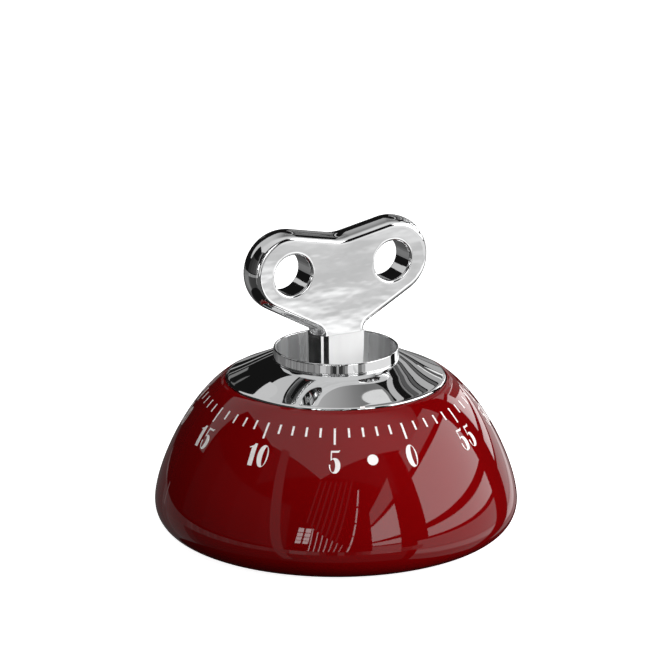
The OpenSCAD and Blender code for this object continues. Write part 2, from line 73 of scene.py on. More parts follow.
BODY_R = shell_high.x - 0.02
DOME_TOP = shell_high.z
DOME_LOW = shell_low.z
WALL = 2.4                         # thickness of the casing
MOUTH_R = 33.15                    # the casing's open foot, where the base plate sits
BOSS_AT = (45, 165, 285)           # directions of the casing's screw bosses, in degrees
BOSS_R = 29.5
DISC_R = disc_high.x
DISC_TOP = disc_high.z
DISC_LOW = disc_low.z
CUP_R = cup_high.x
CUP_TOP = cup_high.z
CUP_NECK = CUP_R - 0.25
CUP_FLOOR = key_low.z
KEY_TOP = key_high.z
KEY_TURN = math.radians(29)        # where the knob rests
MARK_AT = math.radians(283.8)      # where the time is read
KNOB_SCREWS = (0, 120, 240)        # directions of the knob's screws, in degrees
KNOB_SCREW_R = 8.5


# ---------------------------------------------------------------- mesh helpers

def bezier(p0, p1, p2, p3, n):
    """Points along a cubic curve, both ends included."""
    out = []
    for i in range(n + 1):
        t = i / n
        s = 1 - t
        out.append(tuple(s ** 3 * a + 3 * s * s * t * b + 3 * s * t * t * c + t ** 3 * d
                         for a, b, c, d in zip(p0, p1, p2, p3)))
    return out


def arc(cx, cy, rx, ry, a0, a1, n):
    """Points along part of an ellipse, angles in degrees, both ends included."""
    out = []
    for i in range(n + 1):
        a = math.radians(a0 + (a1 - a0) * i / n)
        out.append((cx + rx * math.cos(a), cy + ry * math.sin(a)))
    return out


def rounded(points, radius, n=5):
    """A closed outline with each corner rounded; radius is one number, or one for each corner."""
    out = []
    count = len(points)
    for i, p in enumerate(points):
        r = radius if isinstance(radius, (int, float)) else radius[i]
        if r <= 0:
            out.append(tuple(p))
            continue
        here = Vector(p)
        back = (Vector(points[i - 1]) - here).normalized()
        ahead = (Vector(points[(i + 1) % count]) - here).normalized()
        start, end = here + back * r, here + ahead * r
        for k in range(n + 1):
            t = k / n
            out.append(tuple((1 - t) ** 2 * start + 2 * t * (1 - t) * here + t * t * end))
    return out


def new_object(name, bm, smooth_angle=30):
    """Turns a bmesh in millimetres into an object in metres, smooth but for its sharp edges."""
    bmesh.ops.scale(bm, vec=(MM, MM, MM), verts=bm.verts)
    bmesh.ops.recalc_face_normals(bm, faces=bm.faces)
    mesh = bpy.data.meshes.new(name)
    bm.to_mesh(mesh)
    bm.free()
    obj = bpy.data.objects.new(name, mesh)
    bpy.context.scene.collection.objects.link(obj)
    shade(obj, smooth_angle)
    return obj


def shade(obj, smooth_angle):
    """Smooth shading with sharp edges past an angle."""
    obj.data.polygons.foreach_set("use_smooth", [True] * len(obj.data.polygons))
    obj.data.set_sharp_from_angle(angle=math.radians(smooth_angle))


def lathe(bm, outline, segments):
    """Turns a closed outline of (radius, height) round the Z axis."""
    rings = []
    for k in range(segments):
        a = 2 * math.pi * k / segments
        rings.append([bm.verts.new((r * math.cos(a), r * math.sin(a), z)) for r, z in outline])
    count = len(outline)
    for k in range(segments):
        here, after = rings[k], rings[(k + 1) % segments]
        for i in range(count):
            j = (i + 1) % count
            bm.faces.new((here[i], after[i], after[j], here[j]))


def rod(bm, x, y, r, z0, z1, segments=32, bevel=0.0):
    """An upright round bar with bevelled ends."""
    levels = [(r - bevel, z0), (r, z0 + bevel), (r, z1 - bevel), (r - bevel, z1)]
    rings = []
    for radius, z in levels:
        rings.append([bm.verts.new((x + radius * math.cos(2 * math.pi * k / segments),
                                    y + radius * math.sin(2 * math.pi * k / segments), z))
                      for k in range(segments)])
    for low, high in zip(rings, rings[1:]):
        for k in range(segments):
            bm.faces.new((low[k], low[(k + 1) % segments], high[(k + 1) % segments], high[k]))
    bm.faces.new(rings[0][::-1])
    bm.faces.new(rings[-1])


def rods(angles, reach, r, z0, z1, segments=32, bevel=0.0):
    """Upright round bars on a circle round the Z axis."""
    bm = bmesh.new()
    for angle in angles:
        a = math.radians(angle)
        rod(bm, reach * math.cos(a), reach * math.sin(a), r, z0, z1, segments, bevel)
    return bm


def join_solids(obj, other, operation="UNION"):
    """Applies an exact boolean between two objects and removes the second."""
    modifier = obj.modifiers.new("cut", "BOOLEAN")
    modifier.operation = operation
    modifier.solver = "EXACT"
    modifier.object = other
    depsgraph = bpy.context.evaluated_depsgraph_get()
    mesh = bpy.data.meshes.new_from_object(obj.evaluated_get(depsgraph))
    obj.modifiers.clear()
    old = obj.data
    obj.data = mesh
    mesh.name = obj.name
    bpy.data.meshes.remove(old)
    bpy.data.objects.remove(other)


def weigh_normals(obj):
    """Lets the large flat faces set the shading next to the small rounded ones."""
    modifier = obj.modifiers.new("weighted", "WEIGHTED_NORMAL")
    modifier.mode = "FACE_AREA"
    modifier.keep_sharp = True


# ---------------------------------------------------------------- casing

# The dome's outline: one curve from the widest line up to the top edge, and one down to the table
WIDE_Z = 5.77
UPPER = [(BODY_R, WIDE_Z), (BODY_R, 11.46), (31.76, 26.15), (23.41, DOME_TOP)]
LOWER = [(BODY_R, WIDE_Z), (BODY_R, 1.57), (34.62, 0.45), (34.39, DOME_LOW)]


def dome_profile(n=64):
    """The dome's outside from its top edge down, as (radius, height)."""
    up = bezier(*UPPER, n)[::-1]
    down = bezier(*LOWER, n // 3)
    return up + down[1:]


PROFILE = dome_profile()


def casing():
    """The red casing: a thin turned shell with a deck under the disc, screw bosses and ribs."""
    deck_top, deck_t, deck_hole, lip, ledge = DOME_TOP - 4.3, 1.3, 6.2, 0.12, 3.2
    well_r = PROFILE[0][0] - 0.25
    inside = [(r - WALL, z) for r, z in PROFILE if 4 < z < deck_top - deck_t - 0.6]
    outline = (rounded([(deck_hole, deck_top - deck_t), (deck_hole, deck_top), (well_r, deck_top),
                        (well_r, DOME_TOP)], [0.2, 0.2, 0.3, lip])
               + PROFILE[1:]
               + [(MOUTH_R + 0.3, DOME_LOW), (MOUTH_R, DOME_LOW + 0.3), (MOUTH_R, ledge),
                  (BODY_R * 0.966 - WALL, ledge)]
               + inside[::-1]
               + [(inside[0][0] - 0.5, deck_top - deck_t + 0.15),
                  (inside[0][0] - 1.4, deck_top - deck_t)])
    bm = bmesh.new()
    lathe(bm, outline, 288)
    obj = new_object("casing", bm)
    join_solids(obj, new_object("bosses", rods(BOSS_AT, BOSS_R, 3, 3, 10, bevel=0.3)))
    ribs = bmesh.new()
    rib_size, rib_z = (4.3, 1.8, 6.6), 6.5
    for angle in BOSS_AT:
        rib = bmesh.ops.create_cube(ribs, size=1)["verts"]
        bmesh.ops.scale(ribs, vec=rib_size, verts=rib)
        bmesh.ops.translate(ribs, vec=(MOUTH_R, 0, rib_z), verts=rib)
        bmesh.ops.rotate(ribs, cent=(0, 0, 0), verts=rib,
                         matrix=Matrix.Rotation(math.radians(angle), 3, "Z"))
    join_solids(obj, new_object("ribs", ribs))
    pilots = new_object("pilot_holes", rods(BOSS_AT, BOSS_R, 1.2, 2, 9.4))
    join_solids(obj, pilots, "DIFFERENCE")
    shade(obj, 30)
    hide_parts("dome_shell")
    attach(obj, "base")
    return obj


# ---------------------------------------------------------------- printed scale

def along(profile):
    """Arc lengths from the top edge at each point of the profile."""
    out = [0.0]
    for (r0, z0), (r1, z1) in zip(profile, profile[1:]):
        out.append(out[-1] + math.hypot(r1 - r0, z1 - z0))
    return out


LENGTHS = along(PROFILE)


def length_at(z):
    """Arc length from the top edge down to a height."""
    for i, (a, b) in enumerate(zip(PROFILE, PROFILE[1:])):
        if a[1] >= z >= b[1]:
            return LENGTHS[i] + (LENGTHS[i + 1] - LENGTHS[i]) * (a[1] - z) / (a[1] - b[1])
    raise ValueError(z)


def on_dome(angle, across, down, lift):
    """A point on the dome: across it in millimetres from the angle, down it from the top edge,
    and lifted off it along its normal."""
    i = max(k for k in range(len(LENGTHS) - 1) if LENGTHS[k] <= down)
    (r0, z0), (r1, z1) = PROFILE[i], PROFILE[i + 1]
    t = (down - LENGTHS[i]) / (LENGTHS[i + 1] - LENGTHS[i])
    step = math.hypot(r1 - r0, z1 - z0)
    r = r0 + (r1 - r0) * t - (z1 - z0) / step * lift
    z = z0 + (z1 - z0) * t + (r1 - r0) / step * lift
    a = angle + across / (r0 + (r1 - r0) * t)
    return Vector((r * math.cos(a), r * math.sin(a), z))


PRINT_TOP, PRINT_DEEP = 0.03, -0.04  # how far the print stands out of the casing and reaches in
MINUTES = 60
TICK_TOP, NUMERAL_FOOT, DOT_AT = 29.3, 21.72, 23.85  # heights on the dome


def minute_angle(minute):
    """The direction of a minute on the scale: 5 faces the front, and the numbers run clockwise."""
    return math.radians(299.5 - 6 * minute)


def printed(name, flats):
    """Builds thin printed marks on the dome. Each flat is (angle, drop, loops): a drawing whose
    origin lies on the dome at that angle, drop millimetres down from the top edge."""
    bm = bmesh.new()
    for angle, drop, loops in flats:
        part = bmesh.new()
        for loop in loops:
            ring = [part.verts.new((x, y, 0)) for x, y in loop]
            for a, b in zip(ring, ring[1:] + ring[:1]):
                part.edges.new((a, b))
        bmesh.ops.triangle_fill(part, use_beauty=True, use_dissolve=False, edges=part.edges[:])
        for _ in range(3):
            long_edges = [e for e in part.edges if e.calc_length() > 0.55]
            if long_edges:
                bmesh.ops.subdivide_edges(part, edges=long_edges, cuts=1)
                bmesh.ops.triangulate(part, faces=part.faces[:])
        for f in part.faces:
            if f.normal.z < 0:
                f.normal_flip()
        border = [e for e in part.edges if len(e.link_faces) == 1]
        tops, lows = {}, {}
        for v in part.verts:
            tops[v] = bm.verts.new(on_dome(angle, v.co.x, drop - v.co.y, PRINT_TOP))
            lows[v] = bm.verts.new(on_dome(angle, v.co.x, drop - v.co.y, PRINT_DEEP))
        for f in part.faces:
            bm.faces.new([tops[v] for v in f.verts])
            bm.faces.new([lows[v] for v in reversed(f.verts)])
        for e in border:
            a, b = e.verts
            bm.faces.new((tops[a], tops[b], lows[b], lows[a]))
        part.free()
    obj = new_object(name, bm, 40)
    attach(obj, "base")
    return obj


def stroke(width, length):
    """A straight mark, hanging down from its origin."""
    half = width / 2
    return rounded([(-half, -length), (half, -length), (half, 0), (-half, 0)], 0.06, 2)


def minute_marks():
    """Sixty ticks: a long one at each five minutes and four short ones between."""
    top = length_at(TICK_TOP)
    flats = []
    for minute in range(MINUTES):
        length = 3.55 if minute % 5 == 0 else 2.05
        flats.append((minute_angle(minute), top, [stroke(0.42, length)]))
    return printed("minute_ticks", flats)


# Numerals, drawn upright with the origin at the lower left, in a fat face with thin returns
DIGIT_H = 4.7


def digit_0():
    return [arc(1.2, 2.35, 1.2, 2.35, 0, 350, 35), arc(1.6, 2.35, 0.48, 2.06, 0, 350, 35)], 2.4


def digit_1():
    return [[(0.55, 0), (1.6, 0), (1.6, DIGIT_H), (1.1, DIGIT_H), (0.8, 4.2), (0.0, 3.75),
             (0.05, 3.6), (0.55, 3.78)]], 1.6


def digit_2():
    outline = (arc(1.1, 3.5, 1.1, 1.2, 172, -30, 24) + [(1.45, 1.9), (0.75, 0.72), (1.85, 0.72),
               (2.05, 1.35), (2.25, 1.35), (2.2, 0), (0.0, 0), (0.0, 0.35), (0.85, 1.75),
               (1.1, 2.5)] + arc(0.68, 3.5, 0.5, 0.98, -25, 168, 18))
    return [outline], 2.25


def digit_3():
    outline = (arc(1.05, 3.55, 1.0, 1.15, 168, -48, 24) + [(1.5, 2.48)]
               + arc(1.05, 1.3, 1.15, 1.3, 52, -168, 26)
               + arc(0.68, 1.3, 0.46, 1.06, -165, 62, 20) + [(0.62, 2.4), (0.62, 2.62)]
               + arc(0.66, 3.55, 0.4, 0.93, -62, 165, 18))
    return [outline], 2.2


def digit_4():
    outline = [(1.05, 0), (2.05, 0), (2.05, 1.1), (2.4, 1.1), (2.4, 1.38), (2.05, 1.38),
               (2.05, DIGIT_H), (1.62, DIGIT_H), (0.0, 1.38), (0.0, 1.1), (1.05, 1.1)]
    return [outline, [(0.3, 1.38), (1.05, 1.38), (1.05, 3.0)]], 2.4


def digit_5():
    outline = ([(0.4, DIGIT_H), (1.95, DIGIT_H), (2.1, DIGIT_H + 0.14), (2.24, DIGIT_H + 0.1),
                (2.0, 4.3), (0.62, 4.3), (0.56, 2.98)]
               + arc(1.15, 1.6, 1.15, 1.6, 118, -188, 34)
               + arc(0.76, 1.6, 0.5, 1.32, -188, 124, 28) + [(0.34, 2.66)])
    return [outline], 2.3


DIGITS = {"0": digit_0, "1": digit_1, "2": digit_2, "3": digit_3, "4": digit_4, "5": digit_5}
DIGIT_GAP = 0.7


def numerals():
    """Upright numbers under the long ticks, every five minutes."""
    foot = length_at(NUMERAL_FOOT)
    flats = []
    for minute in range(0, MINUTES, 5):
        drawn = [DIGITS[c]() for c in str(minute)]
        total = sum(width for _, width in drawn) + DIGIT_GAP * (len(drawn) - 1)
        x = -total / 2
        for loops, width in drawn:
            moved = [[(px + x, py) for px, py in loop] for loop in loops]
            flats.append((minute_angle(minute), foot, moved))
            x += width + DIGIT_GAP
    return printed("scale_numerals", flats)


def setting_dot():
    """The round dot below the scale that marks where the time is read."""
    dot = arc(0, 0, 1.12, 1.12, 0, 350, 35)
    return printed("setting_dot", [(MARK_AT, length_at(DOT_AT), [dot])])


# ---------------------------------------------------------------- disc, cup and key

DISC_LOW_R = DISC_R - 1.4
DISC_BORE = CUP_NECK + 0.03


def disc_profile():
    """The disc's top from its bore out to its rim: a dome that carries the casing's curve on."""
    foot = DISC_LOW + 0.97
    crown = bezier((DISC_BORE, DISC_TOP), (DISC_BORE + 2.9, DISC_TOP - 0.66),
                   (DISC_BORE + 5.6, DISC_TOP - 2.05), (DISC_R - 0.6, foot), 32)
    edge = bezier((DISC_R - 0.6, foot), (DISC_R - 0.2, foot - 0.17),
                  (DISC_R, foot - 0.32), (DISC_R, foot - 0.6), 6)
    return crown + edge[1:]


def top_disc():
    """The polished disc: a domed ring, pressed on the cup's neck."""
    outline = (disc_profile() + [(DISC_R, DISC_LOW + 0.15), (DISC_R - 0.15, DISC_LOW),
                                 (DISC_LOW_R, DISC_LOW), (CUP_NECK + 1.5, DISC_TOP - 1.4),
                                 (DISC_BORE, DISC_TOP - 1.4)])
    bm = bmesh.new()
    lathe(bm, outline, 256)
    obj = new_object("top_disc_polished", bm)
    return on_knob(obj, "top_disc")


def drill_screw_holes(obj, z0, z1):
    """Three holes for the screws that hold the knob together."""
    holes = new_object("screw_holes", rods(KNOB_SCREWS, KNOB_SCREW_R, 1, z0, z1, 24))
    join_solids(obj, holes, "DIFFERENCE")
    shade(obj, 30)


def on_knob(obj, node):
    """The piece stands for a CAD node of the knob and turns with it."""
    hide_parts(node)
    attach(obj, "knob")
    return obj


BAND_TAPER = 0.12  # how much narrower the cup's band is at its top
CUP_LIP = 0.22     # radius of the band's rounded edges
CUP_WALL, CUP_BASE, CUP_BORE = 0.6, 0.8, 2.7


def key_cup():
    """The deep cup round the stem: a polished band above the disc, and a satin well below."""
    r, wall, foot = CUP_R, CUP_WALL, CUP_FLOOR
    outline = ([(CUP_BORE, foot - CUP_BASE), (CUP_NECK, foot - CUP_BASE), (CUP_NECK, DISC_TOP)]
               + arc(r - CUP_LIP, DISC_TOP + 0.3, CUP_LIP, 0.3, -90, 0, 6)
               + [(r - BAND_TAPER * 0.04, DISC_TOP + 0.38),
                  (r - BAND_TAPER * 0.92, CUP_TOP - 0.32)]
               + arc(r - BAND_TAPER - CUP_LIP, CUP_TOP - CUP_LIP, CUP_LIP, CUP_LIP, 8, 90, 5)
               + arc(r - wall + CUP_LIP, CUP_TOP - CUP_LIP, CUP_LIP, CUP_LIP, 90, 180, 5)
               + [(r - wall - 0.2, foot + 0.75)]
               + arc(r - wall - 0.9, foot + 0.7, 0.7, 0.7, -6, -90, 6)
               + [(CUP_BORE, foot)])
    bm = bmesh.new()
    lathe(bm, outline, 256)
    obj = new_object("key_cup_polished", bm)
    drill_screw_holes(obj, CUP_FLOOR - 2, CUP_FLOOR - 0.2)
    return on_knob(obj, "key_cup")


# Key sizes: thickness, how far the rim stands out, holes, lobes, saddle, stem
KEY_T, RIM = 6.2, 1.6
HOLE_X, HOLE_R, HOLE_DROP, HOLE_EDGE = 11.6, 4.2, 9.0, 0.55
LOBE_R, LOBE_X = 8.6, 12.2
SADDLE_DROP, SADDLE_R = 2.1, 9.0
NECK_W, NECK_R = 11.2, 1.6
STEM_W, STEM_T = 10.6, 5.9
STEM_HIGHLIGHT_W, STEM_SHADE_W = 0.5, 1.2  # widths of the painted highlight along the stem's arris, and of the painted dark reflection next to it
SOCKET_W, SOCKET_TOP = 3.7, 41.4  # the square hole for the knob's square post
WING_SLOPE = 29.0
FLAT_IN = 0.35  # a narrow flat border that keeps the shading of the faces clean


def key_outline(inset):
    """The blade's outline, drawn in by an inset all round, and the height of its neck."""
    lobe_z = KEY_TOP - LOBE_R
    saddle_z = KEY_TOP - SADDLE_DROP + SADDLE_R
    rise = saddle_z - lobe_z
    saddle_a = math.degrees(math.atan2(LOBE_X, rise)
                            - math.acos((LOBE_R + SADDLE_R) / math.hypot(LOBE_X, rise)))
    slope = math.radians(WING_SLOPE)
    wing_x = LOBE_X + LOBE_R * math.sin(slope)
    wing_z = lobe_z - LOBE_R * math.cos(slope)
    neck_x = NECK_W / 2 + NECK_R
    neck_z = wing_z + ((neck_x - wing_x) * math.sin(slope) - NECK_R) / math.cos(slope)
    neck, lobe, saddle = NECK_R + inset, LOBE_R - inset, SADDLE_R + inset
    right = ([(NECK_W / 2 - inset, neck_z)]
             + arc(neck_x, neck_z, neck, neck, 172, 90 + WING_SLOPE, 10)
             + arc(LOBE_X, lobe_z, lobe, lobe, WING_SLOPE - 90, 90 + saddle_a, 56)
             + arc(0, saddle_z, saddle, saddle, saddle_a - 90, -90, 10))
    return right + [(-x, z) for x, z in right[-2::-1]], neck_z


def blade():
    """The key's blade: two flat faces, a crowned rim, and two holes with rolled edges."""
    bm = bmesh.new()
    half = KEY_T / 2
    steps = 10

    def level(points, y):
        """New corners at one depth."""
        return [bm.verts.new((x, y, z)) for x, z in points]

    def bridge(a, b):
        """Faces between two rings."""
        count = len(a)
        for i in range(count):
            j = (i + 1) % count
            bm.faces.new((a[i], a[j], b[j], b[i]))

    def rim(x0, radius, y):
        """A ring round a finger hole."""
        return level(arc(x0, KEY_TOP - HOLE_DROP, radius, radius, 0, 360 - 5, 71), y)

    angles = [math.pi / 2 * k / steps for k in range(steps + 1)]
    outer = []
    for side in (-1, 1):
        edge = [level(key_outline(RIM * (1 - math.cos(a)))[0], side * half * math.sin(a))
                for a in angles[1:]]
        flat, neck_z = key_outline(RIM + FLAT_IN)
        edge.append(level([(x, max(z, neck_z + FLAT_IN)) for x, z in flat], side * half))
        for a, b in zip(edge, edge[1:]):
            bridge(a, b)
        inner_rings = []
        for x0 in (-HOLE_X, HOLE_X):
            rings = [rim(x0, HOLE_R + HOLE_EDGE * (1 - math.cos(a)),
                         side * (half - HOLE_EDGE + HOLE_EDGE * math.sin(a))) for a in angles]
            rings.append(rim(x0, HOLE_R + HOLE_EDGE + FLAT_IN, side * half))
            for a, b in zip(rings, rings[1:]):
                bridge(a, b)
            inner_rings.append(rings)
        border = []
        for ring in [edge[-1]] + [rings[-1] for rings in inner_rings]:
            for a, b in zip(ring, ring[1:] + ring[:1]):
                border.append(bm.edges.get((a, b)))
        bmesh.ops.triangle_fill(bm, use_beauty=True, use_dissolve=False, edges=border)
        outer.append((edge[0], [rings[0] for rings in inner_rings]))
    (edge_a, holes_a), (edge_b, holes_b) = outer
    bridge(edge_a, edge_b)
    for a, b in zip(holes_a, holes_b):
        bridge(a, b)
    return bm


def winding_key():
    """The butterfly key: the blade and its flat stem, turned to where the knob rests."""
    obj = new_object("butterfly_key", blade(), 50)
    _, neck_z = key_outline(0)
    foot = CUP_FLOOR
    stem = bmesh.new()

    def plan(inset):
        """The stem's outline: faces a little crowned, the back like the front turned half round,
        and points where the painted highlight and painted shade meet."""
        wide, deep = STEM_W / 2 - inset, STEM_T / 2 - inset
        marks = [-wide + 0.2, -wide + 0.3 + STEM_HIGHLIGHT_W, -wide + 0.3 + STEM_HIGHLIGHT_W + STEM_SHADE_W]
        rest = [marks[-1] + (wide - 0.5 - marks[-1]) * k / 6 for k in range(1, 7)]
        front = [(x, -deep + 0.12 * (x / wide) ** 2) for x in marks + rest]
        turn = [(wide - 0.15, -deep + 0.28), (wide, -deep + 0.7)]
        half_way = [(-wide, -deep + 0.5)] + front + turn
        return half_way + [(-x, -y) for x, y in half_way]

    levels = [(foot, 0.18), (neck_z, 0.0), (neck_z + 0.5, 0.9)]
    rings = [[stem.verts.new((x, y, z)) for x, y in plan(inset)] for z, inset in levels]
    for low, high in zip(rings, rings[1:]):
        for i in range(len(low)):
            j = (i + 1) % len(low)
            stem.faces.new((low[i], low[j], high[j], high[i]))
    stem.faces.new(rings[0][::-1])
    stem.faces.new(rings[-1])
    join_solids(obj, new_object("stem", stem))
    socket = bmesh.new()
    cube = bmesh.ops.create_cube(socket, size=1)["verts"]
    bmesh.ops.scale(socket, vec=(SOCKET_W, SOCKET_W, 2 * (SOCKET_TOP - foot)), verts=cube)
    bmesh.ops.translate(socket, vec=(0, 0, foot), verts=cube)
    join_solids(obj, new_object("socket", socket), "DIFFERENCE")
    obj.data.transform(Matrix.Rotation(KEY_TURN, 4, "Z"))
    shade(obj, 40)
    weigh_normals(obj)
    return on_knob(obj, "winding_key")


def index_mark():
    """A short white line on the disc's rim that points at the scale."""
    bm = bmesh.new()
    half = 0.5 / DISC_R
    rows = []
    profile = [(DISC_R - 0.42, DISC_LOW + 0.9), (DISC_R - 0.1, DISC_LOW + 0.74),
               (DISC_R, DISC_LOW + 0.45)]
    for lift in (0.04, -0.05):
        row = []
        for r, z in profile:
            row.append([bm.verts.new(((r + lift) * math.cos(MARK_AT + half * k),
                                      (r + lift) * math.sin(MARK_AT + half * k), z + lift))
                        for k in (-1, -0.33, 0.33, 1)])
        rows.append(row)
    top, low = rows
    for i in range(2):
        for k in range(3):
            bm.faces.new((top[i][k], top[i][k + 1], top[i + 1][k + 1], top[i + 1][k]))
            bm.faces.new((low[i][k], low[i + 1][k], low[i + 1][k + 1], low[i][k + 1]))
    for i in range(2):
        for k in (0, 3):
            bm.faces.new((top[i][k], top[i + 1][k], low[i + 1][k], low[i][k]))
    for k in range(3):
        for i in (0, 2):
            bm.faces.new((top[i][k], top[i][k + 1], low[i][k + 1], low[i][k]))
    obj = new_object("index_mark", bm, 60)
    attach(obj, "knob")
    return obj


# ---------------------------------------------------------------- materials

def material(name, dark, light, rough, scale=60.0, stretch=(1, 1, 1), bump=0.0, bump_scale=None,
             **fixed):
    """A procedural finish: a noise moves the colour between two tones and the roughness between
    two values, and a second one gives a slight relief, bump millimetres high. The scales are in
    waves to the metre. fixed sets the shader's other sockets."""
    mat = bpy.data.materials.new(name)
    mat.use_nodes = True
    nodes, links = mat.node_tree.nodes, mat.node_tree.links
    shader = nodes["Principled BSDF"]
    where = nodes.new("ShaderNodeTexCoord")
    mapping = nodes.new("ShaderNodeMapping")
    mapping.inputs["Scale"].default_value = [s / MM for s in stretch]
    links.new(where.outputs["Object"], mapping.inputs["Vector"])
    noise = nodes.new("ShaderNodeTexNoise")
    noise.inputs["Scale"].default_value = scale * MM
    noise.inputs["Detail"].default_value = 4
    links.new(mapping.outputs["Vector"], noise.inputs["Vector"])
    ramp = nodes.new("ShaderNodeValToRGB")
    ramp.color_ramp.elements[0].position = 0.35
    ramp.color_ramp.elements[0].color = (*dark, 1)
    ramp.color_ramp.elements[1].position = 0.65
    ramp.color_ramp.elements[1].color = (*light, 1)
    links.new(noise.outputs["Fac"], ramp.inputs["Fac"])
    links.new(ramp.outputs["Color"], shader.inputs["Base Color"])
    spread = nodes.new("ShaderNodeMapRange")
    spread.inputs["From Min"].default_value = 0.3
    spread.inputs["From Max"].default_value = 0.7
    spread.inputs["To Min"].default_value = rough[0]
    spread.inputs["To Max"].default_value = rough[1]
    links.new(noise.outputs["Fac"], spread.inputs["Value"])
    links.new(spread.outputs["Result"], shader.inputs["Roughness"])
    if bump:
        fine = nodes.new("ShaderNodeTexNoise")
        fine.inputs["Scale"].default_value = (bump_scale or scale) * MM
        fine.inputs["Detail"].default_value = 3
        links.new(mapping.outputs["Vector"], fine.inputs["Vector"])
        relief = nodes.new("ShaderNodeBump")
        relief.inputs["Strength"].default_value = 1.0
        relief.inputs["Distance"].default_value = bump * MM
        links.new(fine.outputs["Fac"], relief.inputs["Height"])
        links.new(relief.outputs["Normal"], shader.inputs["Normal"])
    for socket, value in fixed.items():
        shader.inputs[socket.replace("_", " ")].default_value = value
    return mat


def grey(value, warmth=0.0):
    """A grey tone, a little warmer or colder if asked."""
    return (value * (1 + warmth), value, value * (1 - warmth))


MATERIALS = {
    "casing_red": material("gloss_red", (0.17, 0.0004, 0.001), (0.19, 0.0006, 0.0014),
                           (0.02, 0.035), 40, IOR=1.5),
    "chrome": material("polished_chrome", grey(0.84, -0.004), grey(0.88, -0.004), (0.012, 0.03),
                       70, (1, 1, 0.35), bump=0.0012, bump_scale=120, Metallic=1.0),
    "key_chrome": material("polished_key", grey(0.8, -0.004), grey(0.95, -0.004), (0.02, 0.045),
                           110, (1, 1, 2.2), bump=0.07, bump_scale=60, Metallic=1.0),
    "satin_chrome": material("satin_well", grey(0.58, -0.004), grey(0.92, -0.004), (0.2, 0.32),
                             260, (1, 1, 0.06), bump=0.004, bump_scale=500, Metallic=0.7),
    # Two copies of the stem's chrome with light and shade painted in: a near-white satin that is a
    # painted reflection of something bright on its faces, and a near-black one that is a painted
    # dark reflection on its side
    "stem_painted_highlight": material("painted_highlight_satin", grey(0.9), grey(0.97), (0.3, 0.4), 300, (1, 1, 0.2),
                           bump=0.003, bump_scale=600, Metallic=0.1),
    "stem_painted_shade": material("painted_shade_chrome", grey(0.03), grey(0.09), (0.1, 0.2), 300, (1, 1, 0.2),
                          bump=0.003, bump_scale=600, Metallic=1.0),
    "dark_plastic": material("moulded_black", grey(0.018), grey(0.028), (0.42, 0.55), 900,
                             bump=0.012, bump_scale=2500),
    "rubber": material("soft_rubber", grey(0.02), grey(0.032), (0.7, 0.85), 700,
                       bump=0.02, bump_scale=1800),
    "screw_steel": material("zinc_plate", grey(0.5, -0.01), grey(0.64, 0.01), (0.22, 0.36), 600,
                            bump=0.004, bump_scale=1500, Metallic=1.0),
    "plate_brass": material("rolled_brass", (0.62, 0.45, 0.19), (0.76, 0.58, 0.28), (0.2, 0.34),
                            240, (8, 1, 1), bump=0.003, bump_scale=500, Metallic=1.0),
    "arbor_steel": material("turned_steel", grey(0.5), grey(0.62), (0.16, 0.28), 500, (1, 1, 9),
                            bump=0.002, bump_scale=700, Metallic=1.0),
    "spring_steel": material("blued_steel", (0.09, 0.12, 0.2), (0.2, 0.2, 0.26), (0.2, 0.32), 260,
                             bump=0.002, bump_scale=900, Metallic=1.0),
    "gear_brass": material("cut_brass", (0.7, 0.5, 0.2), (0.83, 0.63, 0.3), (0.16, 0.28), 420,
                           (1, 1, 5), bump=0.002, bump_scale=900, Metallic=1.0),
    "nylon": material("natural_nylon", (0.72, 0.69, 0.58), (0.8, 0.78, 0.68), (0.34, 0.46), 300,
                      bump=0.004, bump_scale=900, Subsurface_Weight=0.15,
                      Subsurface_Scale=0.0012),
    "hammer_steel": material("stamped_steel", grey(0.52), grey(0.64), (0.24, 0.38), 380, (5, 1, 1),
                             bump=0.003, bump_scale=900, Metallic=1.0),
    "bell_steel": material("nickel_plate", grey(0.62, 0.015), grey(0.7, 0.015), (0.1, 0.2), 260,
                           (1, 1, 4), bump=0.002, bump_scale=600, Metallic=1.0),
}
PRINT_WHITE = material("print_white", (0.9, 0.85, 0.84), (0.97, 0.93, 0.92), (0.3, 0.42), 500,
                       bump=0.003, bump_scale=2500)


def line_cup(cup):
    """Gives the inside of the cup its satin finish."""
    cup.data.materials.append(MATERIALS["satin_chrome"])
    for face in cup.data.polygons:
        centre = face.center / MM
        radius = math.hypot(centre.x, centre.y)
        if CUP_FLOOR - 0.1 < centre.z < CUP_TOP - 0.25 and radius < CUP_R - 0.55:
            face.material_index = 1


def face_stem(key):
    """Paints light and shade on the stem: near-white faces and arris as a painted highlight, and
    near-black on the left side and in a band by the arris as a painted dark reflection.
    """
    key.data.materials.append(MATERIALS["stem_painted_highlight"])
    key.data.materials.append(MATERIALS["stem_painted_shade"])
    _, neck_z = key_outline(0)
    square = Matrix.Rotation(-KEY_TURN, 4, "Z")
    for face in key.data.polygons:
        centre, normal = square @ (face.center / MM), square @ face.normal
        on_stem = CUP_FLOOR + 0.01 <= centre.z <= neck_z - 0.02
        if not on_stem or max(abs(centre.x), abs(centre.y)) < SOCKET_W / 2 + 0.05:
            continue
        across = centre.x if normal.y < 0 else -centre.x
        edge = -STEM_W / 2 + STEM_HIGHLIGHT_W + 0.2
        # faces, but not the band by the arris: the near-white painted highlight
        if abs(normal.y) > 0.8 and not edge < across < edge + STEM_SHADE_W:
            face.material_index = 1
        # that band and the left side: the near-black painted shade
        elif abs(normal.y) > 0.8 or abs(normal.x) > 0.8 and (normal.x < 0) == (normal.y <= 0.5):
            face.material_index = 2


def dress(obj, mat):
    """Gives an object one material, in place of any it came with."""
    obj.data.materials.clear()
    obj.data.materials.append(mat)


# ---------------------------------------------------------------- studio

# The polished metal mirrors a room of glowing cards that the camera doesn't see. Their places are
# given in a room one unit in half its width, or as directions from the object.
STUDIO = 1.5  # one unit of the room, in metres


